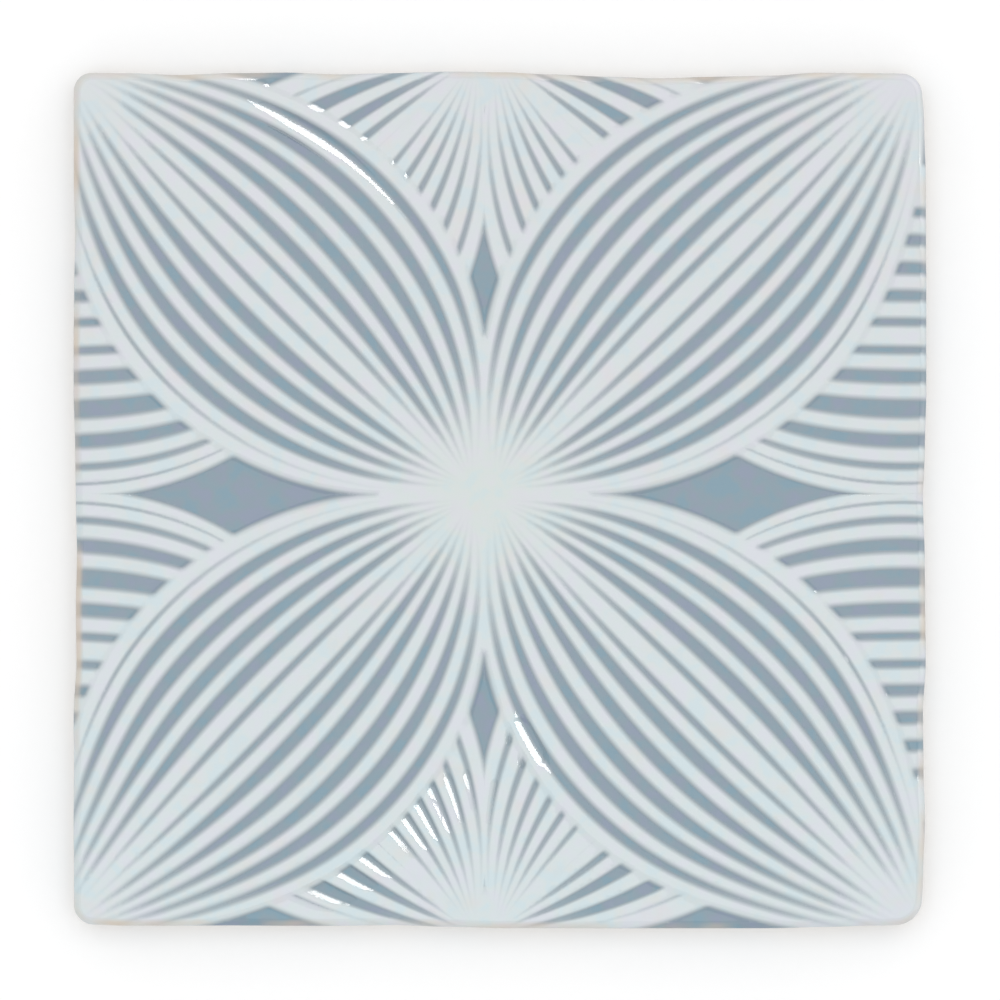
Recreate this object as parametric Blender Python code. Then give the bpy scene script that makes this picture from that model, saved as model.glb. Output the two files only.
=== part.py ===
"""A square ceramic wall tile with a moulded relief: four ribbed petals crossing at the middle
over a ground of ribbed bands. Metres, +Z out of the glazed face, +Y to the tile's upper edge,
origin in the middle of the flat back face."""
import math

import bmesh
import bpy
from mathutils import Vector

MM = 0.001

# The slab, pressed from clay in one piece
TILE_WIDTH = 152.0 * MM
TILE_HEIGHT = 152.7 * MM
CORNER_RADIUS = 3.4 * MM
CORNER_STEPS = 6
GROUND_TOP = 9.0 * MM
ARRIS_WIDTH = 1.5 * MM
ARRIS_STEPS = 3
RIM = 1.9 * MM              # the relief stops this far inside the outline

# The sides aren't quite straight, after the kiln
EDGE_STEPS = 18
EDGE_WAVE = 0.2 * MM
EDGE_RIPPLE = 0.1 * MM

# The petals run from the crossing, which lies left of the middle, to the four corners
CROSSING = Vector((-2.8, 1.0)) * MM
PETAL_TIPS = {
    "upper_left": Vector((-75.2, 75.3)) * MM,
    "upper_right": Vector((74.4, 75.2)) * MM,
    "lower_left": Vector((-75.3, -75.1)) * MM,
    "lower_right": Vector((74.4, -75.1)) * MM,
}
PETAL_TOP = 9.7 * MM
PETAL_ROOT = 7.6 * MM       # how deep the petal's solid reaches into the slab
PETAL_BULGE_SIDE = 28.4 * MM      # rise of the edge that faces the left or right side
PETAL_BULGE_POLE = 29.8 * MM      # rise of the edge that faces the upper or lower side
PETAL_STEPS = 28
HUB_RADIUS = 5.0 * MM
HUB_STEPS = 24

# Grooves of a petal: rise at half length, full width, and where each starts and ends
PETAL_GROOVES = (
    (2.5 * MM, 1.5 * MM, 0.13, 0.88),
    (7.0 * MM, 2.3 * MM, 0.10, 0.92),
    (11.9 * MM, 2.4 * MM, 0.09, 0.93),
    (16.9 * MM, 2.4 * MM, 0.09, 0.93),
    (22.0 * MM, 2.4 * MM, 0.11, 0.92),
)
SIDE_GROOVE = (25.8 * MM, 0.7 * MM, 0.17, 0.90)
POLE_GROOVE = (27.0 * MM, 1.7 * MM, 0.19, 0.92)
PETAL_GROOVE_FLOOR = 8.7 * MM
GROOVE_STEPS = 12
GROOVE_END_SHAPE = 0.4      # how blunt a groove's ends are: 0 is square, 1 is a long point

CUT_TOP = 12.0 * MM


def wavy(fraction, phase):
    """Sideways shift of a side at a fraction of its length, dying out at the corners."""
    wave = EDGE_WAVE * math.sin(2.0 * math.pi * (1.4 * fraction + phase))
    ripple = EDGE_RIPPLE * math.sin(2.0 * math.pi * (3.7 * fraction + 2.0 * phase))
    return (wave + ripple) * math.sin(math.pi * fraction)


def tile_outline(inset=0.0):
    """Points round the tile's outline, counter-clockwise, from the lower right corner."""
    half = Vector((TILE_WIDTH / 2.0 - inset, TILE_HEIGHT / 2.0 - inset))
    radius = CORNER_RADIUS - inset
    radius = max(radius, 0.6 * MM)
    corners = [
        Vector((half.x - radius, -half.y + radius)),
        Vector((half.x - radius, half.y - radius)),
        Vector((-half.x + radius, half.y - radius)),
        Vector((-half.x + radius, -half.y + radius)),
    ]
    points = []
    for index, centre in enumerate(corners):
        start = math.pi / 2.0 * (index - 1)
        for step in range(CORNER_STEPS + 1):
            angle = start + math.pi / 2.0 * step / CORNER_STEPS
            points.append(centre + radius * Vector((math.cos(angle), math.sin(angle))))
        outward = Vector((math.cos(start + math.pi / 2.0), math.sin(start + math.pi / 2.0)))
        following = corners[(index + 1) % 4]
        for step in range(1, EDGE_STEPS):
            fraction = step / EDGE_STEPS
            middle = centre.lerp(following, fraction) + radius * outward
            points.append(middle - outward * abs(wavy(fraction, 0.23 * index)))
    return points


def arc_point(start, end, rise, fraction):
    """A point on the circular arc from start to end that rises to the left of the chord."""
    chord = end - start
    half = chord.length / 2.0
    along = chord.normalized()
    left = Vector((-along.y, along.x))
    side = math.copysign(1.0, rise)
    height = abs(rise)
    radius = (half * half + height * height) / (2.0 * height)
    offset = (fraction - 0.5) * 2.0 * half
    lift = math.sqrt(radius * radius - offset * offset) - (radius - height)
    return start + along * (offset + half) + left * (side * lift)


def lens(start, end, rise_left, rise_right, steps):
    """Outline of a petal: two arcs from tip to tip, with closer points towards the tips."""
    spacing = [0.5 - 0.5 * math.cos(math.pi * step / steps) for step in range(steps + 1)]
    left = [arc_point(start, end, rise_left, fraction) for fraction in spacing]
    right = [arc_point(start, end, -rise_right, fraction) for fraction in spacing]
    return right + left[-2:0:-1]


def crescent(start, end, rise, width, first, last):
    """Outline of a groove that follows the arc of its rise, narrowing to both ends."""
    left = []
    right = []
    for step in range(GROOVE_STEPS + 1):
        place = 0.5 - 0.5 * math.cos(math.pi * step / GROOVE_STEPS)
        fraction = first + (last - first) * place
        swell = math.sin(math.pi * min(max(place, 0.02), 0.98)) ** GROOVE_END_SHAPE
        half = 0.5 * width * swell
        middle = arc_point(start, end, rise, fraction)
        ahead = arc_point(start, end, rise, fraction + 0.001)
        along = (ahead - middle).normalized()
        aside = Vector((-along.y, along.x)) * half
        left.append(middle + aside)
        right.append(middle - aside)
    return right + left[::-1]


def prism(name, outlines, bottom, top, collection):
    """A closed solid over flat outlines, between two heights."""
    curve = bpy.data.curves.new(name, "CURVE")
    curve.dimensions = "2D"
    curve.fill_mode = "BOTH"
    curve.extrude = (top - bottom) / 2.0
    for points in outlines:
        spline = curve.splines.new("POLY")
        spline.points.add(len(points) - 1)
        for knot, point in zip(spline.points, points):
            knot.co = (point.x, point.y, 0.0, 1.0)
        spline.use_cyclic_u = True
    drawn = bpy.data.objects.new(name, curve)
    drawn.location.z = (top + bottom) / 2.0
    collection.objects.link(drawn)
    bpy.context.view_layer.update()
    graph = bpy.context.evaluated_depsgraph_get()
    mesh = bpy.data.meshes.new_from_object(drawn.evaluated_get(graph))
    solid = bpy.data.objects.new(name, mesh)
    solid.matrix_world = drawn.matrix_world.copy()
    bpy.data.objects.remove(drawn)
    bpy.data.curves.remove(curve)
    work = bmesh.new()
    work.from_mesh(mesh)
    bmesh.ops.remove_doubles(work, verts=work.verts, dist=0.000001)
    bmesh.ops.recalc_face_normals(work, faces=work.faces)
    work.to_mesh(mesh)
    work.free()
    solid.name = name
    collection.objects.link(solid)
    return solid


def as_cutter(solid):
    solid.hide_render = True
    solid.display_type = "WIRE"
    return solid


def boolean(solid, other, operation):
    modifier = solid.modifiers.new(operation.title() + " " + other.name, "BOOLEAN")
    modifier.operation = operation
    modifier.object = other
    return modifier


def material(name, colour, roughness, coat):
    paint = bpy.data.materials.new(name)
    paint.use_nodes = True
    shader = paint.node_tree.nodes["Principled BSDF"]
    shader.inputs["Base Color"].default_value = colour
    shader.inputs["Roughness"].default_value = roughness
    shader.inputs["Metallic"].default_value = 0.0
    shader.inputs["Coat Weight"].default_value = coat
    return paint


def clear_scene():
    for thing in list(bpy.data.objects):
        bpy.data.objects.remove(thing)


def make_collection(name):
    collection = bpy.data.collections.new(name)
    bpy.context.scene.collection.children.link(collection)
    return collection


def soften_arris(slab):
    """Round the edge between the face and the sides, as the die and the glaze leave it."""
    work = bmesh.new()
    work.from_mesh(slab.data)
    top = max(vertex.co.z for vertex in work.verts)
    rim = [
        edge for edge in work.edges
        if all(abs(vertex.co.z - top) < 0.01 * MM for vertex in edge.verts)
        and len(edge.link_faces) == 2
        and any(abs(face.normal.z) < 0.1 for face in edge.link_faces)
    ]
    bmesh.ops.bevel(work, geom=rim, offset=ARRIS_WIDTH, segments=ARRIS_STEPS, profile=0.5,
                    affect="EDGES", clamp_overlap=True)
    work.to_mesh(slab.data)
    work.free()


def petal_sides(name):
    """Rises left and right of a petal's axis, seen from the crossing: pole side and edge side."""
    pole_is_left = name in ("lower_left", "upper_right")
    return pole_is_left


def build_tile():
    parts = make_collection("ceramic_tile")
    cutters = make_collection("cutters")

    tile = prism("tile", [tile_outline()], 0.0, GROUND_TOP, parts)
    soften_arris(tile)

    petals = []
    grooves = []
    for name, tip in PETAL_TIPS.items():
        pole_left = petal_sides(name)
        rise_left = PETAL_BULGE_POLE if pole_left else PETAL_BULGE_SIDE
        rise_right = PETAL_BULGE_SIDE if pole_left else PETAL_BULGE_POLE
        outline = lens(CROSSING, tip, rise_left, rise_right, PETAL_STEPS)
        petals.append((name, outline))
        for side in (1.0, -1.0):
            for rise, width, first, last in PETAL_GROOVES:
                grooves.append(crescent(CROSSING, tip, side * rise, width, first, last))
            on_pole_side = (side > 0.0) == pole_left
            rise, width, first, last = POLE_GROOVE if on_pole_side else SIDE_GROOVE
            grooves.append(crescent(CROSSING, tip, side * rise, width, first, last))

    field = as_cutter(prism("relief_field", [tile_outline(RIM)], PETAL_ROOT - MM, CUT_TOP, cutters))
    for name, outline in petals:
        petal = as_cutter(prism("petal_" + name, [outline], PETAL_ROOT, PETAL_TOP, cutters))
        boolean(petal, field, "INTERSECT")
        boolean(tile, petal, "UNION")
    hub = [
        CROSSING + HUB_RADIUS * Vector((math.cos(turn), math.sin(turn)))
        for turn in (2.0 * math.pi * step / HUB_STEPS for step in range(HUB_STEPS))
    ]
    boss = as_cutter(prism("hub", [hub], PETAL_ROOT, PETAL_TOP, cutters))
    boolean(tile, boss, "UNION")
    channels = as_cutter(prism("petal_grooves", grooves, PETAL_GROOVE_FLOOR, CUT_TOP, cutters))
    boolean(channels, field, "INTERSECT")
    boolean(tile, channels, "DIFFERENCE")

    tile.data.materials.append(material("blue_grey_glaze", (0.55, 0.66, 0.72, 1.0), 0.08, 0.6))
    return tile


clear_scene()
build_tile()
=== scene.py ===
import math

import bpy
import numpy as np
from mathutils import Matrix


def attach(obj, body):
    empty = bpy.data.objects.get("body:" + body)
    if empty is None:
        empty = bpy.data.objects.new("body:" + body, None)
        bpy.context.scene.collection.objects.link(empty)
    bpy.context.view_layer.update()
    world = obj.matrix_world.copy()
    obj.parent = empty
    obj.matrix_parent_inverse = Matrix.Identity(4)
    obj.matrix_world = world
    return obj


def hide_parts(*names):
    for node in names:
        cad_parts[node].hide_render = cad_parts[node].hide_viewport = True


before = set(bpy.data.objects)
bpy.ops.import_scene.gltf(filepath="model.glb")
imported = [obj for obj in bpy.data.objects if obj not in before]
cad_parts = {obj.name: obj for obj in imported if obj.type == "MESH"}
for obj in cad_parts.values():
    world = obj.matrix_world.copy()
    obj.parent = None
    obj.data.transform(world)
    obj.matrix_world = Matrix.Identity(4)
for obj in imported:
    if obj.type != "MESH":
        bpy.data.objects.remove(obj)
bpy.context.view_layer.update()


# The tile
# One slab of pressed and fired clay with its gloss glaze fused on. The die leaves four ribbed
# leaves that cross near the middle, over ribbed fans from the upper and lower edge and ribbed
# bands from the two sides. It lies on its plain back. Sizes of the relief are in millimetres.

CROSSING = (-2.8, 1.0)

# For each quarter (side, height): the leaf's inner tip, its outer tip and the lean of its ribs,
# then the point past the corner that its ribs run out to, and how much they open on the way
LEAVES = {
    (-1, 1): ((-4.9, 2.4), (-76.3, 75.9), 0.4, (-77.9, 77.5), 1.043),
    (1, 1): ((-1.0, 2.1), (72.8, 76.2), 0.1, (75.0, 78.3), 1.061),
    (-1, -1): ((-5.0, 0.0), (-77.3, -75.2), -0.1, (-80.4, -78.2), 1.095),
    (1, -1): ((-1.2, 0.0), (72.9, -74.4), 0.0, (76.3, -77.6), 1.096),
}

# Grooves on each half of a leaf: rise at half length, how the rise changes along it, and width.
# The side half lies towards the tile's left or right side, the pole half towards its axis.
LEAF_SIDE_GROOVES = (
    (2.55, 0.0, 1.2),
    (7.35, 0.35, 2.45),
    (12.15, 0.35, 2.48),
    (17.0, 0.7, 2.48),
    (21.95, 0.7, 2.48),
    (25.8, 0.4, 0.64),
)
LEAF_POLE_GROOVES = (
    (2.55, 0.0, 1.2),
    (6.8, 1.6, 2.42),
    (11.8, 2.1, 2.48),
    (16.95, 0.7, 2.48),
    (21.8, -1.4, 2.48),
    (26.6, -2.9, 1.93),
)
LEAF_SIDE_EDGE = (29.0, 0.5)
LEAF_POLE_EDGE = (30.5, -2.9)

# How fast the grooves narrow to the inner and the outer tip, from which width on they run full
# depth near each tip, and how wide their walls are
LEAF_NARROWING = (1.33, 2.0)
LEAF_FULL_WIDTH = (1.07, 0.62)
LEAF_WALL = 1.2

# The fans: near tip and far tip from the crossing, as if turned into the upper right quarter
FANS = {
    (-1, 1): ((1.4, 77.9), (76.8, -0.7)),
    (1, 1): ((2.0, 77.9), (74.2, 2.2)),
    (-1, -1): ((1.5, 78.2), (76.4, 0.2)),
    (1, -1): ((1.8, 77.7), (74.6, 3.3)),
}
FAN_INNER_GROOVES = (
    (3.6, 0.0, 1.26),
    (8.4, 0.0, 1.66),
    (13.1, 0.0, 1.68),
    (17.8, 0.0, 1.66),
    (22.5, 0.0, 1.54),
    (27.3, 0.0, 1.32),
)
FAN_OUTER_GROOVES = (
    (2.1, 0.0, 0.3),
    (6.4, 0.0, 1.95),
    (12.2, 0.0, 3.4),
    (19.0, 0.0, 3.5),
    (23.6, 0.0, 0.65),
)
FAN_INNER_EDGE = (31.5, 0.0)
FAN_OUTER_EDGE = (28.0, 0.0)
FAN_NARROWING = (1.25, 1.25)
FAN_FULL_WIDTH = (0.8, 0.8)
FAN_WALL = 0.9

# Round each pole, where a fan's ribs meet, the ground is smooth and then fades into the ribs
POLES = ((-2.8, 77.0), (-2.8, -77.0))
POLE_FIELD = (5.0, 14.0)

# The side bands: middle of the leaf (side to side, height), half its length, and its tilt
BANDS = {
    (-1, 1): (74.5, 29.0, 49.1, -1.9),
    (1, 1): (71.5, 29.1, 52.5, -0.5),
    (-1, -1): (75.1, 26.7, 48.8, -2.5),
    (1, -1): (71.3, 26.6, 50.8, -0.6),
}
BAND_INNER_GROOVES = (
    (2.4, 0.0, 1.46),
    (7.15, 0.0, 2.52),
    (12.85, 0.0, 3.45),
    (18.55, 0.0, 2.6),
    (23.1, 0.0, 1.22),
    (26.15, 0.0, 0.45),
)
BAND_OUTER_GROOVES = (
    (2.6, 0.0, 1.5),
    (7.3, 0.0, 2.1),
    (12.2, 0.0, 2.3),
    (17.2, 0.0, 2.15),
    (22.2, 0.0, 1.75),
)
BAND_INNER_EDGE = (28.5, 0.0)
BAND_OUTER_EDGE = (30.7, 0.0)
BAND_NARROWING = (1.45, 1.45)
BAND_FULL_WIDTH = (0.5, 0.5)
BAND_WALL = 1.3

# Runs of places where the die cut steep flanks on the grooves' lower left sides, which catch the
# light: side to side, height, how far the flanks reach from there, and how fully they are cut
CRISP_RUNS = (
    ((-47.0, 71.3, 2.4, 0.2), (-42.0, 69.2, 2.4, 0.7), (-37.0, 66.6, 2.4, 1.0), (-32.0, 63.6, 2.4, 0.9),
     (-27.0, 59.8, 2.4, 0.6), (-20.5, 53.7, 2.4, 0.4), (-17.0, 49.5, 2.4, 0.0)),
    ((-40.0, 73.2, 1.9, 1.0), (-31.0, 69.1, 1.9, 1.0), (-25.0, 65.2, 1.9, 0.9), (-16.0, 57.0, 1.9, 0.7)),
    ((-1.6, -51.5, 2.2, 0.9), (-1.6, -56.0, 2.2, 0.9)),
    ((-5.0, -51.5, 4.0, 0.9), (-9.0, -53.5, 5.5, 0.9), (-14.0, -56.5, 5.5, 1.0), (-20.0, -61.5, 5.5, 1.0),
     (-28.0, -67.5, 5.0, 1.0), (-36.0, -71.0, 4.5, 0.9), (-43.0, -73.5, 3.0, 0.8)),
    ((1.6, -37.0, 2.5, 0.2), (3.6, -41.5, 3.2, 0.9), (5.6, -45.5, 3.2, 0.9), (8.4, -50.0, 2.5, 0.2)),
)
FLANK_SLOPE = 0.68
FLANK_WIDTH = 1.5

# Which side of the grooves has the flank in each quarter's leaf and fan, or none
LEAF_FLANK_SIDE = {(-1, 1): 1.0, (1, 1): 0.0, (-1, -1): 0.0, (1, -1): -1.0}
FAN_FLANK_SIDE = {(-1, 1): 0.0, (1, 1): 0.0, (-1, -1): 1.0, (1, -1): -1.0}

# The rise of a groove changes only between these places along a leaf, counted from half length
DRIFT_SPAN = (-0.24, 0.5)

# A groove is mostly a cut with walls, and a little a wide shallow hollow
CUT_SHARE = 0.8
HOLLOW_SHARE = 0.2

# Glaze pools to the first share in the narrowest grooves, and gains the second in wide ones
NARROW_POOL = 0.8
WIDE_POOL = 0.2
WIDE_GROOVES = (0.5, 1.6)


def ease(low, high, value):
    """0 below low, 1 above high, and a smooth step between."""
    t = np.clip((value - low) / (high - low), 0.0, 1.0)
    return t * t * (3.0 - 2.0 * t)


def leaf_place(x, y, start, end):
    """Where points lie in a leaf: rise of the arc through both tips, place along, how far the
    ribs spread there (1 at half length), and how wide one step of rise is on the face."""
    length = math.hypot(end[0] - start[0], end[1] - start[1])
    along_x = (end[0] - start[0]) / length
    along_y = (end[1] - start[1]) / length
    along = (x - start[0]) * along_x + (y - start[1]) * along_y
    aside = (y - start[1]) * along_x - (x - start[0]) * along_y
    bend = np.arctan2(aside, along) + np.arctan2(aside, length - along)
    rise = 0.5 * length * np.tan(0.5 * np.clip(bend, -3.0, 3.0))
    place = np.clip(along / length, 0.0, 1.0)
    spread = np.clip(4.0 * place * (1.0 - place), 0.02, 1.0)
    tips = np.hypot(along, aside) * np.hypot(length - along, aside)
    step = 4.0 * tips * np.cos(0.5 * bend) ** 2 / length ** 2
    return rise, place, spread, step


def press(rise, place, spread, step, left, right, left_edge, right_edge,
          narrowing, full_width, wall, crisp, flank_side):
    """Depth of the grooves, of their pools and of a straight flank, and how far inside the leaf."""
    drop = np.zeros_like(rise)
    pool = np.zeros_like(rise)
    hollow = np.zeros_like(rise)
    flank = np.zeros_like(rise)
    outer = ease(0.35, 0.65, place)
    narrow = spread ** (narrowing[0] + (narrowing[1] - narrowing[0]) * outer)
    full_depth = full_width[0] + (full_width[1] - full_width[0]) * outer
    span = np.clip(place - 0.5, *DRIFT_SPAN)
    for grooves, signed, turn in ((left, rise, flank_side), (right, -rise, -flank_side)):
        for at, drift, width in grooves:
            offset = signed - at - drift * span
            gap = np.abs(offset) * spread - 0.5 * width * narrow
            full = ease(0.0, 1.0, width * narrow / full_depth)
            soft = min(wall, 0.35 + 0.55 * width) * spread ** (0.4 * (1.0 - outer))
            wet = (1.0 - ease(-0.5, 0.5, gap / soft)) * full
            wide = ease(*WIDE_GROOVES, width * narrow)
            np.maximum(pool, wet * (NARROW_POOL + WIDE_POOL * wide), out=pool)
            np.maximum(drop, wet * soft / wall, out=drop)
            np.maximum(hollow, (1.0 - ease(-0.4, 1.3, gap)) * full, out=hollow)
            if turn != 0.0:
                reach = FLANK_WIDTH * spread * crisp
                long_side = np.clip(reach - gap * step / spread, 0.0, reach + 0.1)
                short_side = (reach + 0.1) * (1.0 - ease(-0.45, 0.25, gap))
                fall = np.where(offset * turn > 0.0, long_side, short_side)
                np.maximum(flank, FLANK_SLOPE * fall * full * ease(0.0, 0.1, crisp), out=flank)
    edge_left = (left_edge[0] + left_edge[1] * span - rise) * spread
    edge_right = (right_edge[0] + right_edge[1] * span + rise) * spread
    drop = CUT_SHARE * drop + HOLLOW_SHARE * hollow
    return drop, pool, flank, np.where(rise > 0.0, edge_left, edge_right)


def crispness(x, y):
    """0 on most of the face, and up to 1 where the flanks are steep."""
    crisp = np.zeros_like(x)
    for run in CRISP_RUNS:
        for (x0, y0, reach0, much0), (x1, y1, reach1, much1) in zip(run, run[1:]):
            along = ((x - x0) * (x1 - x0) + (y - y0) * (y1 - y0)) / ((x1 - x0) ** 2 + (y1 - y0) ** 2)
            along = np.clip(along, 0.0, 1.0)
            away = np.hypot(x - x0 - along * (x1 - x0), y - y0 - along * (y1 - y0))
            reach = reach0 + along * (reach1 - reach0)
            much = much0 + along * (much1 - much0)
            np.maximum(crisp, much * (1.0 - ease(0.6, 1.2, away / reach)), out=crisp)
    return crisp


# Heights over the back of the leaves' ribs, of the ribs beside them and of the sunk fields, how
# deep the grooves are cut, and the width of a leaf's outer slope and of its change of colour
LEAF_CREST = 9.62
GROUND_CREST = 9.3
FLOOR = 8.88
LEAF_DEPTH = 0.5
GROUND_DEPTH = 0.4
BORDER_WALL = 1.9
BORDER_COLOUR_WALL = 1.0

# Where a border has a steep flank, this share of its height is left at its foot line
FLANK_FOOT = 0.28

# The leaves run together along the axes until this far from the crossing
JOINED_UP = 29.0
JOINED_SIDEWAYS = 20.0

# The smooth middle, where all ribs meet, ends between these distances from the crossing
OPEN_MIDDLE = (2.0, 5.0)

# From here to there along a leaf, its ribs turn from its outer tip to the point past the corner
TURN_PAST_TIP = (0.58, 1.04)

# The whole face swells and sinks by this much, unevenly, from the kiln
SWELL = 0.02


def leaf_ribs(quarter, x, y, crisp):
    """A quarter's leaf: how deep its grooves are, its pools, how far inside its border a place
    lies, and whether in its pole half."""
    start, end, lean, past_end, opening = LEAVES[quarter]
    pole_left = quarter[0] * quarter[1] > 0
    if pole_left:
        halves = (LEAF_POLE_GROOVES, LEAF_SIDE_GROOVES, LEAF_POLE_EDGE, LEAF_SIDE_EDGE)
    else:
        halves = (LEAF_SIDE_GROOVES, LEAF_POLE_GROOVES, LEAF_SIDE_EDGE, LEAF_POLE_EDGE)
    rise, place, spread, step = leaf_place(x, y, start, end)
    past_rise, _, past_spread, past_step = leaf_place(x, y, start, past_end)
    past = ease(*TURN_PAST_TIP, place)
    rise = (rise - lean) * (1.0 - past) + (past_rise - lean) * opening * past
    spread = spread * (1.0 - past) + past_spread / opening * past
    step = step * (1.0 - past) + past_step / opening * past
    drop, pool, flank, within = press(
        rise, place, spread, step, *halves, LEAF_NARROWING, LEAF_FULL_WIDTH, LEAF_WALL,
        crisp, LEAF_FLANK_SIDE[quarter])
    return np.maximum(LEAF_DEPTH * drop, flank), pool, within, (rise > 0.0) == pole_left


def fan_and_band(quarter, x, y, crisp, on_pole_side):
    """Height and pools of the ground beside a leaf: the fan towards the pole, the band opposite."""
    side, up = quarter
    near, far = FANS[quarter]
    fan = leaf_place((x - CROSSING[0]) * side, (y - CROSSING[1]) * up, near, far)
    fan_drop, fan_pool, fan_flank, fan_within = press(
        *fan, FAN_OUTER_GROOVES, FAN_INNER_GROOVES, FAN_OUTER_EDGE, FAN_INNER_EDGE,
        FAN_NARROWING, FAN_FULL_WIDTH, FAN_WALL, crisp, FAN_FLANK_SIDE[quarter])

    middle, level, half, tilt = BANDS[quarter]
    band = leaf_place(x * side, y * up, (middle - half, level - tilt), (middle + half, level + tilt))
    band_drop, band_pool, _, band_within = press(
        *band, BAND_OUTER_GROOVES, BAND_INNER_GROOVES, BAND_OUTER_EDGE, BAND_INNER_EDGE,
        BAND_NARROWING, BAND_FULL_WIDTH, BAND_WALL, crisp, 0.0)

    drop = np.where(on_pole_side, fan_drop, band_drop)
    flank = np.where(on_pole_side, fan_flank, 0.0)
    pool = np.where(on_pole_side, fan_pool, band_pool)
    within = np.where(on_pole_side, fan_within, band_within)
    to_pole = np.minimum(*(np.hypot(x - pole[0], y - pole[1]) for pole in POLES))
    pole_field = 1.0 - ease(*POLE_FIELD, to_pole)
    raised = np.maximum(ease(-0.65, 0.65, within), pole_field)
    coloured = np.maximum(ease(-0.5, 0.5, within), pole_field)
    crest = GROUND_CREST - np.maximum(GROUND_DEPTH * drop, flank)
    return FLOOR + (crest - FLOOR) * raised, 1.0 + (pool - 1.0) * coloured


def relief(x, y):
    """Height of the glaze over the back and depth of its pools, 0 on the crests to 1 in grooves."""
    height = np.full_like(x, LEAF_CREST)
    pool = np.zeros_like(x)
    from_crossing = np.hypot(x - CROSSING[0], y - CROSSING[1])
    for quarter in LEAVES:
        side, up = quarter
        here = ((x - CROSSING[0]) * side >= 0.0) & ((y - CROSSING[1]) * up >= 0.0)
        crisp = crispness(x[here], y[here])
        leaf_fall, leaf_pool, within, on_pole_side = leaf_ribs(quarter, x[here], y[here], crisp)
        under_height, under_pool = fan_and_band(quarter, x[here], y[here], crisp, on_pole_side)

        joined = np.where(on_pole_side, JOINED_UP, JOINED_SIDEWAYS)
        joined = 1.0 - ease(-2.5, 2.0, from_crossing[here] - joined)
        raised = ease(-0.5, 0.5, within / BORDER_WALL)
        straight = np.clip(FLANK_FOOT + within * FLANK_SLOPE / (LEAF_CREST - FLOOR), 0.0, 1.0)
        raised = np.maximum(raised + (straight - raised) * crisp, joined)
        coloured = np.maximum(ease(-0.5, 0.5, within / BORDER_COLOUR_WALL), joined)
        height[here] = under_height + (LEAF_CREST - leaf_fall - under_height) * raised
        pool[here] = under_pool + (leaf_pool - under_pool) * coloured
    open_field = ease(*OPEN_MIDDLE, from_crossing)
    height = LEAF_CREST + (height - LEAF_CREST) * open_field
    swell = np.sin(x / 9.0 + 0.6) * np.sin(y / 7.5 + 1.1) + 0.6 * np.sin(x / 4.7 + y / 5.9)
    return height + SWELL * swell, pool * open_field


# Half the tile's size, its corners' radii, and the radius of the glazed arris
HALF_WIDTH = 75.99
HALF_HEIGHT = 76.34
CORNER_RADII = {(-1, 1): 3.2, (1, 1): 3.4, (-1, -1): 3.4, (1, -1): 4.4}
MEAN_CORNER = 3.6
ARRIS = 1.5

# How far each side draws in from the tile's full size in the kiln, at even places along it
DRAW_IN = {
    "left": (0.1, 0.1, 0.0, 0.1, 0.0, 0.5, 0.4, 0.6, 0.4, 0.25, 0.0, 0.0, 0.1, 0.3, 0.05, 0.05, 0.1),
    "right": (1.0, 0.6, 0.25, 0.5, 0.6, 0.1, 0.2, 0.3, 0.6, 0.25, 0.0, 0.0, 0.0, 0.05, 0.1, 0.4, 1.0),
    "lower": (0.8, 0.5, 0.5, 0.5, 0.45, 0.45, 0.6, 0.3, 0.05, 0.05, 0.0, 0.0, 0.0, 0.0, 0.25, 0.5, 0.7),
    "upper": (0.2, 0.3, 0.6, 0.25, 0.15, 0.5, 0.25, 0.0, 0.1, 0.5, 0.9, 1.2, 0.9, 0.75, 0.2, 0.3, 0.4),
}


def draw_in(side, place):
    """Smooth curve through the side's values, for places from -1 to 1."""
    knots = np.array(DRAW_IN[side])
    where = (np.clip(place, -1.0, 1.0) + 1.0) * 0.5 * (len(knots) - 1)
    low = np.minimum(where.astype(int), len(knots) - 2)
    return knots[low] + (knots[low + 1] - knots[low]) * ease(0.0, 1.0, where - low)


def plan(u, v):
    """Places on the face for a square sheet from -1 to 1: round corners and wavy sides."""
    x = u * HALF_WIDTH
    y = v * HALF_HEIGHT
    for (side, up), radius in CORNER_RADII.items():
        a = x * side - (HALF_WIDTH - radius)
        b = y * up - (HALF_HEIGHT - radius)
        corner = (a > 0.0) & (b > 0.0)
        round_a = a[corner] * np.sqrt(1.0 - b[corner] ** 2 / (2.0 * radius ** 2))
        round_b = b[corner] * np.sqrt(1.0 - a[corner] ** 2 / (2.0 * radius ** 2))
        x[corner] = side * (HALF_WIDTH - radius + round_a)
        y[corner] = up * (HALF_HEIGHT - radius + round_b)
    left = draw_in("left", y / HALF_HEIGHT) * ease(0.75, 1.0, -x / HALF_WIDTH)
    right = draw_in("right", y / HALF_HEIGHT) * ease(0.75, 1.0, x / HALF_WIDTH)
    lower = draw_in("lower", x / HALF_WIDTH) * ease(0.75, 1.0, -y / HALF_HEIGHT)
    upper = draw_in("upper", x / HALF_WIDTH) * ease(0.75, 1.0, y / HALF_HEIGHT)
    return x + left - right, y + lower - upper


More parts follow.
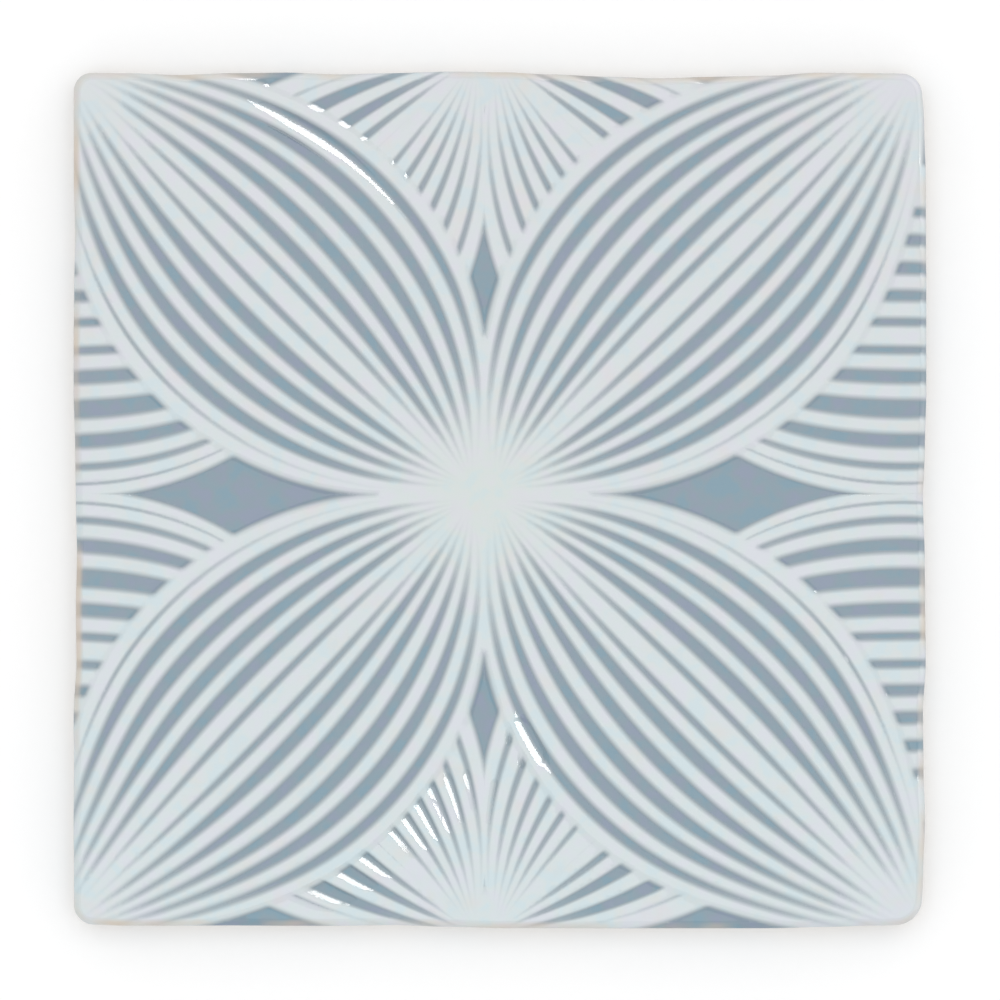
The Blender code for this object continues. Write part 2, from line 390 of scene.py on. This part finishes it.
def edge_distance(x, y):
    """How far inside the tile's outline a place lies."""
    to_left = x + HALF_WIDTH - draw_in("left", y / HALF_HEIGHT)
    to_right = HALF_WIDTH - draw_in("right", y / HALF_HEIGHT) - x
    to_lower = y + HALF_HEIGHT - draw_in("lower", x / HALF_WIDTH)
    to_upper = HALF_HEIGHT - draw_in("upper", x / HALF_WIDTH) - y
    distance = np.minimum(np.minimum(to_left, to_right), np.minimum(to_lower, to_upper))
    for (side, up), radius in CORNER_RADII.items():
        to_side = to_right if side > 0 else to_left
        to_end = to_upper if up > 0 else to_lower
        corner = (to_side < radius) & (to_end < radius)
        reach = np.hypot(radius - to_side[corner], radius - to_end[corner])
        distance[corner] = radius - reach
    return np.maximum(distance, 0.0)


def face(x, y):
    """Height of the finished face, its pools, and how near the arris a place is."""
    height, pool = relief(x, y)
    distance = edge_distance(x, y)
    inward = np.clip(ARRIS - distance, 0.0, ARRIS)
    height = height - (ARRIS - np.sqrt(ARRIS ** 2 - inward ** 2))
    rim = 1.0 - ease(0.5, 1.5, distance)
    return height, pool, rim


def facing(x, y):
    """Which way the glazed face looks, with the round of the arris, and plain outward at its end."""
    step = 0.06
    rise_x = (relief(x + step, y)[0] - relief(x - step, y)[0]) / (2.0 * step)
    rise_y = (relief(x, y + step)[0] - relief(x, y - step)[0]) / (2.0 * step)
    turned = np.clip(1.0 - edge_distance(x, y) / ARRIS, 0.0, 1.0)
    level = np.sqrt(1.0 - turned ** 2)
    out_x = np.sign(x) * np.maximum(np.abs(x) - (HALF_WIDTH - MEAN_CORNER), 0.0)
    out_y = np.sign(y) * np.maximum(np.abs(y) - (HALF_HEIGHT - MEAN_CORNER), 0.0)
    out = np.maximum(np.hypot(out_x, out_y), 1e-6)
    sides = (out_x / out * turned - rise_x * level, out_y / out * turned - rise_y * level)
    directions = np.stack([*sides, level], axis=1)
    return directions / np.linalg.norm(directions, axis=1, keepdims=True)


def all_points(mesh):
    """The mesh's vertices as rows of x, y and z."""
    flat = np.empty(len(mesh.vertices) * 3, dtype=np.float32)
    mesh.vertices.foreach_get("co", flat)
    return flat.reshape(-1, 3).astype(float)


def set_points(mesh, points):
    """Moves the mesh's vertices to these places."""
    mesh.vertices.foreach_set("co", points.astype(np.float32).ravel())
    mesh.update()


# The sheet that becomes the face: cells along each side, and how many triangles are kept of it
CELLS = 820
TRIANGLES = 192000

bpy.ops.object.select_all(action="DESELECT")
bpy.ops.mesh.primitive_grid_add(x_subdivisions=CELLS, y_subdivisions=CELLS, size=2.0)
tile = bpy.context.object
tile.name = "glazed_tile"
points = all_points(tile.data)
face_x, face_y = plan(points[:, 0].copy(), points[:, 1].copy())

# Its points are nudged out of their straight rows, because points in line fold over when thinned,
# and rounded, so that they are the same each time
NUDGE = 0.04
inside = NUDGE * ease(0.4, 2.0, edge_distance(face_x, face_y))
face_x, face_y = (face_x + inside * np.sin(97.0 * face_x + 61.0 * face_y),
                  face_y + inside * np.sin(53.0 * face_x - 89.0 * face_y))
height, pool, rim = face(face_x, face_y)
points[:, 0] = face_x
points[:, 1] = face_y
points[:, 2] = height
points = np.round(points, 5)
set_points(tile.data, points * 0.001)

# The sides come down from the open edge of the face, and the back closes them
BACK_ARRIS = 0.5
SIDE_STEPS = (7.3, 4.5, 1.8, BACK_ARRIS)
bpy.ops.object.mode_set(mode="EDIT")
bpy.ops.mesh.select_mode(type="EDGE")
bpy.ops.mesh.select_all(action="DESELECT")
bpy.ops.mesh.select_non_manifold(extend=False)
for level in SIDE_STEPS:
    bpy.ops.mesh.extrude_region_move(TRANSFORM_OT_translate={"value": (0.0, 0.0, 0.0)})
    bpy.ops.transform.resize(value=(1.0, 1.0, 0.0), center_override=(0.0, 0.0, level * 0.001))
bpy.ops.mesh.extrude_region_move(TRANSFORM_OT_translate={"value": (0.0, 0.0, 0.0)})
shrink = 1.0 - BACK_ARRIS / HALF_WIDTH
bpy.ops.transform.resize(value=(shrink, shrink, 0.0), center_override=(0.0, 0.0, 0.0))
bpy.ops.mesh.edge_face_add()
bpy.ops.mesh.select_all(action="SELECT")
bpy.ops.mesh.normals_make_consistent(inside=False)
bpy.ops.object.mode_set(mode="OBJECT")

# The sheet is thinned, but not on the steep flanks nor on the first line below the arris
smooth_places = tile.vertex_groups.new(name="smooth_places")
face_now = all_points(tile.data) * 1000.0
kept = crispness(face_now[:, 0], face_now[:, 1]) > 0.02
kept |= np.abs(face_now[:, 2] - SIDE_STEPS[0]) < 0.01
smooth_places.add(np.flatnonzero(~kept).tolist(), 1.0, "REPLACE")
thin = tile.modifiers.new("Fewer triangles", "DECIMATE")
thin.vertex_group = smooth_places.name
tile.data.calc_loop_triangles()
thin.ratio = min(1.0, TRIANGLES / len(tile.data.loop_triangles))
bpy.ops.object.modifier_apply(modifier=thin.name)
tile.vertex_groups.clear()

# The few triangles of the face that still folded over their neighbours are closed up, twice,
# and only where they lie higher than the round of the arris
INSIDE_ARRIS = 8.8
for turn in range(2):
    bpy.ops.object.mode_set(mode="EDIT")
    bpy.ops.mesh.select_mode(type="FACE")
    bpy.ops.mesh.select_all(action="DESELECT")
    bpy.ops.object.mode_set(mode="OBJECT")
    for polygon in tile.data.polygons:
        polygon.select = polygon.center.z > INSIDE_ARRIS * 0.001 and polygon.normal.z < 0.1
    bpy.ops.object.mode_set(mode="EDIT")
    bpy.ops.mesh.merge(type="COLLAPSE")
    bpy.ops.mesh.select_all(action="DESELECT")
    bpy.ops.object.mode_set(mode="OBJECT")

# Every vertex of the face goes back to its true height, and its shading follows the true surface
points = all_points(tile.data) * 1000.0
face_x = points[:, 0]
face_y = points[:, 1]
height, pool, rim = face(face_x, face_y)
on_face = points[:, 2] > SIDE_STEPS[0] + 0.1
points[on_face, 2] = height[on_face]
set_points(tile.data, points * 0.001)

# Low on the sides and on the back a row of zeros leaves the shading as the mesh has it
tile.data.shade_smooth()
normals = facing(face_x, face_y)
normals[points[:, 2] < SIDE_STEPS[-2] - 0.1] = 0.0
tile.data.normals_split_custom_set_from_vertices(normals.tolist())

# Where the glaze pools and where the arris is near are kept for the glaze
for name, values in (("pool", pool), ("rim", rim)):
    layer = tile.data.attributes.new(name, "FLOAT", "POINT")
    layer.data.foreach_set("value", values.astype(np.float32))

# The glaze is a translucent blue-grey. It pools in the grooves and shows its full colour there,
# runs thin and milky over the ribs, and leaves the clay warm along the arris. It stops short of
# the back, where the bare body is off-white and dull. Places on it are in metres.
glaze = bpy.data.materials.new("blue_grey_glaze")
glaze.use_nodes = True
nodes = glaze.node_tree.nodes
links = glaze.node_tree.links
shader = nodes["Principled BSDF"]
shader.inputs["IOR"].default_value = 1.5
where = nodes.new("ShaderNodeTexCoord")


def attribute(name):
    """What the mesh keeps under this name."""
    node = nodes.new("ShaderNodeAttribute")
    node.attribute_name = name
    return node.outputs["Fac"]


def noise(scale, detail=2.0):
    """Soft cloudy drift over the glaze, finer for a larger scale."""
    node = nodes.new("ShaderNodeTexNoise")
    node.inputs["Scale"].default_value = scale
    node.inputs["Detail"].default_value = detail
    links.new(where.outputs["Object"], node.inputs["Vector"])
    return node.outputs["Fac"]


def graded(value, *stops):
    """A colour ramp through stops of (place, red, green, blue)."""
    node = nodes.new("ShaderNodeValToRGB")
    ramp = node.color_ramp
    ramp.elements[0].position = stops[0][0]
    ramp.elements[0].color = (*stops[0][1:], 1.0)
    ramp.elements[1].position = stops[-1][0]
    ramp.elements[1].color = (*stops[-1][1:], 1.0)
    for place, red, green, blue in stops[1:-1]:
        ramp.elements.new(place).color = (red, green, blue, 1.0)
    links.new(value, node.inputs["Fac"])
    return node.outputs["Color"]


def blended(factor, first, second, kind="MIX"):
    """The second colour laid over the first, as far as the factor says."""
    node = nodes.new("ShaderNodeMix")
    node.data_type = "RGBA"
    node.blend_type = kind
    if isinstance(factor, float):
        node.inputs["Factor"].default_value = factor
    else:
        links.new(factor, node.inputs["Factor"])
    for source, socket in ((first, node.inputs[6]), (second, node.inputs[7])):
        if isinstance(source, tuple):
            socket.default_value = (*source, 1.0)
        else:
            links.new(source, socket)
    return node.outputs[2]


def ranged(value, low, high, to_low=0.0, to_high=1.0):
    """The value carried from one range to another, and held at its ends."""
    node = nodes.new("ShaderNodeMapRange")
    node.inputs["From Min"].default_value = low
    node.inputs["From Max"].default_value = high
    node.inputs["To Min"].default_value = to_low
    node.inputs["To Max"].default_value = to_high
    links.new(value, node.inputs["Value"])
    return node.outputs["Result"]


def worked(operation, first, second):
    """Two values added, subtracted or multiplied."""
    node = nodes.new("ShaderNodeMath")
    node.operation = operation
    for source, socket in ((first, node.inputs[0]), (second, node.inputs[1])):
        if isinstance(source, float):
            socket.default_value = source
        else:
            links.new(source, socket)
    return node.outputs["Value"]


split = nodes.new("ShaderNodeSeparateXYZ")
links.new(where.outputs["Object"], split.inputs["Vector"])

# The pools run over the arris and a little way down the sides, which have an even coat below
SIDE_COAT = 0.35
run_down = worked("ADD", split.outputs["Z"], ranged(noise(110.0), 0.3, 0.7, -0.0012, 0.0012))
still_pooled = ranged(run_down, 0.0058, 0.0074)
pool_depth = worked("SUBTRACT", attribute("pool"), SIDE_COAT)
pool_depth = worked("ADD", worked("MULTIPLY", pool_depth, still_pooled), SIDE_COAT)
rim_near = worked("MULTIPLY", attribute("rim"), still_pooled)

# Thin glaze on the crests drifts a little between cyan, cream and lavender, and so do the pools
milky = graded(noise(260.0),
               (0.36, 0.570, 0.664, 0.698),
               (0.46, 0.606, 0.666, 0.674),
               (0.54, 0.612, 0.662, 0.686),
               (0.64, 0.624, 0.650, 0.700))
pooled = graded(noise(240.0),
                (0.36, 0.190, 0.302, 0.374),
                (0.46, 0.214, 0.300, 0.354),
                (0.54, 0.226, 0.291, 0.354),
                (0.64, 0.236, 0.285, 0.376))
pooled = blended(ranged(pool_depth, 0.8, 1.0), (0.243, 0.300, 0.342), pooled)
colour = blended(pool_depth, milky, pooled)

# The lower edge leans to cyan, the upper edge to red, and the smooth middle is a little creamy.
down_the_face = graded(ranged(split.outputs["Y"], -0.076, 0.076),
                       (0.0, 0.985, 1.0, 1.0),
                       (1.0, 1.0, 0.975, 0.972))
colour = blended(1.0, colour, down_the_face, "MULTIPLY")
FACE_HEIGHT = 0.0095
from_middle = nodes.new("ShaderNodeVectorMath")
from_middle.operation = "DISTANCE"
from_middle.inputs[1].default_value = (CROSSING[0] * 0.001, CROSSING[1] * 0.001, FACE_HEIGHT)
links.new(where.outputs["Object"], from_middle.inputs[0])
cream_middle = graded(ranged(from_middle.outputs["Value"], 0.003, 0.022),
                      (0.0, 0.995, 0.992, 0.955),
                      (1.0, 1.0, 1.0, 1.0))
colour = blended(1.0, colour, cream_middle, "MULTIPLY")

# Peach spots where the glaze is thinnest on the ribs, and the clay's tan in places on the arris
thin_here = ranged(pool_depth, 0.0, 0.25, 0.2, 0.0)
peach = worked("MULTIPLY", ranged(noise(170.0), 0.58, 0.74), thin_here)
colour = blended(peach, colour, (0.70, 0.58, 0.50))
bare_arris = worked("MULTIPLY", rim_near, ranged(noise(60.0), 0.42, 0.62, 0.0, 0.7))
colour = blended(bare_arris, colour, (0.62, 0.51, 0.40))

# The glaze stops in an uneven line over the back
bare = ranged(run_down, 0.0026, 0.0022)
bisque = graded(noise(900.0, 4.0), (0.3, 0.60, 0.545, 0.48), (0.7, 0.69, 0.645, 0.58))
colour = blended(bare, colour, bisque)
links.new(colour, shader.inputs["Base Color"])

# Glossy on the face, duller along the arris where the glaze is thin, and dull where it is bare
dull_arris = ranged(rim_near, 0.15, 0.66, 0.0, 0.45)
links.new(worked("ADD", ranged(bare, 0.0, 1.0, 0.12, 0.75), dull_arris), shader.inputs["Roughness"])

skin = nodes.new("ShaderNodeBump")
skin.inputs["Strength"].default_value = 0.05
skin.inputs["Distance"].default_value = 0.001
links.new(noise(320.0), skin.inputs["Height"])
links.new(skin.outputs["Normal"], shader.inputs["Normal"])

tile.data.materials.append(glaze)
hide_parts("tile")
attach(tile, "root")


# The floor
# A plain white sheet that the tile lies on, matt and level, and much wider than the tile.

bpy.ops.object.select_all(action="DESELECT")
bpy.ops.mesh.primitive_plane_add(size=4.0, location=(0.0, 0.0, 0.0))
floor = bpy.context.object
floor.name = "floor"
paper = bpy.data.materials.new("white_paper")
paper.use_nodes = True
paper.node_tree.nodes["Principled BSDF"].inputs["Base Color"].default_value = (0.97, 0.97, 0.97, 1.0)
paper.node_tree.nodes["Principled BSDF"].inputs["Roughness"].default_value = 0.9
paper.node_tree.nodes["Principled BSDF"].inputs["Specular IOR Level"].default_value = 0.0
floor.data.materials.append(paper)


# The light and the camera
# Even white light from all round with a broad softbox overhead, and one long low lamp from the
# upper right that draws the glints on the steepest slopes. The camera looks straight down.

bpy.context.scene.view_settings.view_transform = "Standard"
world = bpy.data.worlds.new("studio")
bpy.context.scene.world = world
world.use_nodes = True
world.node_tree.nodes["Background"].inputs["Color"].default_value = (1.0, 1.0, 1.0, 1.0)
world.node_tree.nodes["Background"].inputs["Strength"].default_value = 0.9


def lamp(name, place, width, height, watts):
    """A softbox that faces the tile and doesn't show itself."""
    data = bpy.data.lights.new(name, "AREA")
    data.shape = "RECTANGLE"
    data.size = width
    data.size_y = height
    data.energy = watts
    light = bpy.data.objects.new(name, data)
    light.location = place
    light.visible_camera = False
    bpy.context.scene.collection.objects.link(light)
    aim = light.constraints.new("TRACK_TO")
    aim.target = floor
    aim.track_axis = "TRACK_NEGATIVE_Z"
    aim.up_axis = "UP_Y"
    return light


lamp("softbox", (0.0, 0.25, 2.4), width=2.0, height=2.0, watts=12.0)
low_lamp = lamp("low_lamp", (1.06, 0.92, 0.55), width=3.0, height=0.42, watts=47.0)
low_lamp.visible_diffuse = False

# How high the camera is, and how much it sees across at the height of the face, in metres
CAMERA_HEIGHT = 1.5
SEEN_WIDTH = 0.178
camera = bpy.data.objects.new("camera", bpy.data.cameras.new("camera"))
camera.location = (0.0, 0.0, CAMERA_HEIGHT)
camera.data.sensor_width = 36.0
camera.data.lens = camera.data.sensor_width * (CAMERA_HEIGHT - FACE_HEIGHT) / SEEN_WIDTH
camera.data.clip_end = 20.0
bpy.context.scene.collection.objects.link(camera)
bpy.context.scene.camera = camera
